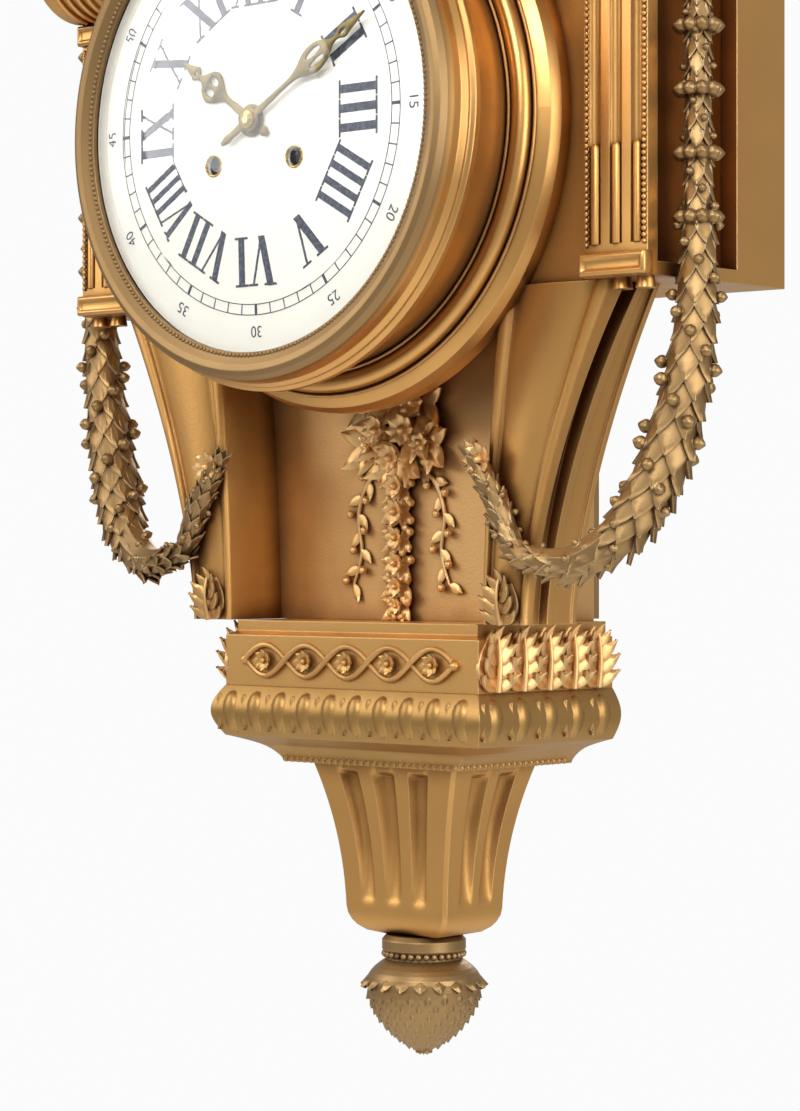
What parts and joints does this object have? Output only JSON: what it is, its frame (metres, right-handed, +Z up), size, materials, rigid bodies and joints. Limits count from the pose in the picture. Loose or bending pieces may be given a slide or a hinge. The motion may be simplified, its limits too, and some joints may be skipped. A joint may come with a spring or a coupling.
{
  "type": "cartel clock",
  "caption": "Gilt-bronze neoclassical wall clock with an enamel dial in a drum, fluted pilasters, laurel garlands, an urn above and a fluted pendant below, and a striking movement inside.",
  "frame": {"origin": "centre of the hanging hole on the back plate's wall face", "axes": "+Z up the clock, +X to the right of a person facing the dial, +Y into the wall"},
  "size_m": [0.3948, 0.1752, 0.786],
  "materials": {
    "gilt_bronze": "satin gilt with patina",
    "brass": "polished",
    "hand_gilt": "gilt, aged",
    "bell_metal": "turned",
    "steel": "polished",
    "enamel": "gloss",
    "glass": "clear"
  },
  "bodies": {
    "case": {"back_plate": "brass", "hinge_pins": "steel", "case_screws": "steel", "case_body": "gilt_bronze", "drum_shell": "gilt_bronze", "lower_case": "gilt_bronze", "pilaster_left": "gilt_bronze", "pilaster_right": "gilt_bronze", "scroll_left": "gilt_bronze", "scroll_right": "gilt_bronze", "console_left": "gilt_bronze", "console_right": "gilt_bronze", "console_leaves": "gilt_bronze", "base_block": "gilt_bronze", "base_moulding": "gilt_bronze", "pendant": "gilt_bronze", "finial": "gilt_bronze", "cornice": "gilt_bronze", "crest": "gilt_bronze", "urn": "gilt_bronze", "urn_cover": "gilt_bronze", "urn_flame": "gilt_bronze", "urn_handles": "gilt_bronze", "urn_swags": "gilt_bronze", "garland_left": "gilt_bronze", "garland_right": "gilt_bronze", "leaf_spray": "gilt_bronze", "dial_ring": "brass", "dial": "enamel", "front_plate": "brass", "rear_plate": "brass", "plate_pillars": "brass", "movement_straps": "brass", "ratchet_clicks": "steel", "suspension_cock": "brass", "bell": "bell_metal"},
    "bezel_frame": {"bezel": "gilt_bronze", "glass": "glass"},
    "back_door": {"rear_door": "brass"},
    "door_latch": {"rear_latch": "brass"},
    "minute_arbor": {"centre_wheel": "brass", "cannon_pinion": "steel", "minute_hand": "hand_gilt", "hand_nut": "brass"},
    "hour_pipe": {"hour_wheel": "brass", "hour_hand": "hand_gilt"},
    "motion_wheel": {"minute_wheel": "brass"},
    "going_barrel": {"going_barrel": "brass"},
    "going_stem": {"going_arbor": "steel"},
    "going_second": {"going_second_wheel": "brass"},
    "third": {"third_wheel": "brass"},
    "escape": {"escape_wheel": "brass"},
    "anchor": {"anchor": "steel"},
    "pendulum": {"pendulum": "brass"},
    "strike_barrel": {"strike_barrel": "brass"},
    "strike_stem": {"strike_arbor": "steel"},
    "strike_second": {"strike_second_wheel": "brass"},
    "pin_wheel": {"pin_wheel": "brass"},
    "fly": {"fly": "brass"},
    "hammer": {"hammer": "steel"}
  },
  "joints": [
    {"name": "bezel_hinge", "type": "hinge", "parent": "case", "child": "bezel_frame", "pos_m": [-0.1233, -0.1464, -0.112], "axis": [0, 0, -1], "range_deg": [0, 110]},
    {"name": "rear_door_hinge", "type": "hinge", "parent": "case", "child": "back_door", "pos_m": [0.0754, -0.0024, -0.112], "axis": [0, 0, -1], "range_deg": [0, 100]},
    {"name": "latch_turn", "type": "hinge", "parent": "case", "child": "door_latch", "pos_m": [-0.077, -0.001, -0.112], "axis": [0, 1, 0], "range_deg": [0, 90]},
    {"name": "minute_turn", "type": "hinge", "parent": "case", "child": "minute_arbor", "pos_m": [0, -0.119, -0.112], "axis": [0, 1, 0], "continuous": true},
    {"name": "hour_turn", "type": "hinge", "parent": "case", "child": "hour_pipe", "pos_m": [0, -0.148, -0.112], "axis": [0, 1, 0], "continuous": true},
    {"name": "motion_wheel_turn", "type": "hinge", "parent": "case", "child": "motion_wheel", "pos_m": [0, -0.146, -0.1264], "axis": [0, 1, 0], "continuous": true},
    {"name": "going_barrel_turn", "type": "hinge", "parent": "case", "child": "going_barrel", "pos_m": [0.025, -0.119, -0.13], "axis": [0, 1, 0], "continuous": true},
    {"name": "going_second_turn", "type": "hinge", "parent": "case", "child": "going_second", "pos_m": [0.02109, -0.119, -0.10632], "axis": [0, 1, 0], "continuous": true},
    {"name": "third_turn", "type": "hinge", "parent": "case", "child": "third", "pos_m": [-0.00608, -0.119, -0.09211], "axis": [0, 1, 0], "continuous": true},
    {"name": "escape_turn", "type": "hinge", "parent": "case", "child": "escape", "pos_m": [0, -0.119, -0.07495], "axis": [0, 1, 0], "continuous": true},
    {"name": "going_wind", "type": "hinge", "parent": "case", "child": "going_stem", "pos_m": [0.025, -0.119, -0.13], "axis": [0, 1, 0], "continuous": true},
    {"name": "pendulum_swing", "type": "hinge", "parent": "case", "child": "pendulum", "pos_m": [0, -0.082, -0.05795], "axis": [0, 1, 0], "range_deg": [-3.5, 3.5]},
    {"name": "anchor_rock", "type": "hinge", "parent": "case", "child": "anchor", "pos_m": [0, -0.089, -0.05795], "axis": [0, 1, 0], "range_deg": [-3.5, 3.5]},
    {"name": "strike_second_turn", "type": "hinge", "parent": "case", "child": "strike_second", "pos_m": [-0.03514, -0.119, -0.10825], "axis": [0, 1, 0], "continuous": true},
    {"name": "strike_barrel_turn", "type": "hinge", "parent": "case", "child": "strike_barrel", "pos_m": [-0.025, -0.119, -0.13], "axis": [0, 1, 0], "continuous": true},
    {"name": "pin_wheel_turn", "type": "hinge", "parent": "case", "child": "pin_wheel", "pos_m": [-0.02949, -0.119, -0.08715], "axis": [0, 1, 0], "continuous": true},
    {"name": "fly_turn", "type": "hinge", "parent": "case", "child": "fly", "pos_m": [-0.02149, -0.119, -0.0733], "axis": [0, 1, 0], "continuous": true},
    {"name": "strike_wind", "type": "hinge", "parent": "case", "child": "strike_stem", "pos_m": [-0.025, -0.119, -0.13], "axis": [0, 1, 0], "continuous": true},
    {"name": "hammer_lift", "type": "hinge", "parent": "case", "child": "hammer", "pos_m": [0.036, -0.072, -0.156], "axis": [0, 1, 0], "range_deg": [0, 12], "stiffness_Nm_per_rad": 0.02, "springref_deg": -11.46}
  ],
  "couplings": [
    {"joint": "hour_turn", "follows": "minute_turn", "ratio": 0.083333},
    {"joint": "motion_wheel_turn", "follows": "minute_turn", "ratio": -0.33333},
    {"joint": "going_second_turn", "follows": "minute_turn", "ratio": -0.16667},
    {"joint": "going_barrel_turn", "follows": "minute_turn", "ratio": 0.02381},
    {"joint": "third_turn", "follows": "minute_turn", "ratio": -12},
    {"joint": "escape_turn", "follows": "minute_turn", "ratio": 144},
    {"joint": "anchor_rock", "follows": "pendulum_swing", "ratio": 1},
    {"joint": "strike_barrel_turn", "follows": "strike_second_turn", "ratio": -0.14286},
    {"joint": "pin_wheel_turn", "follows": "strike_second_turn", "ratio": -6},
    {"joint": "fly_turn", "follows": "strike_second_turn", "ratio": 54}
  ]
}
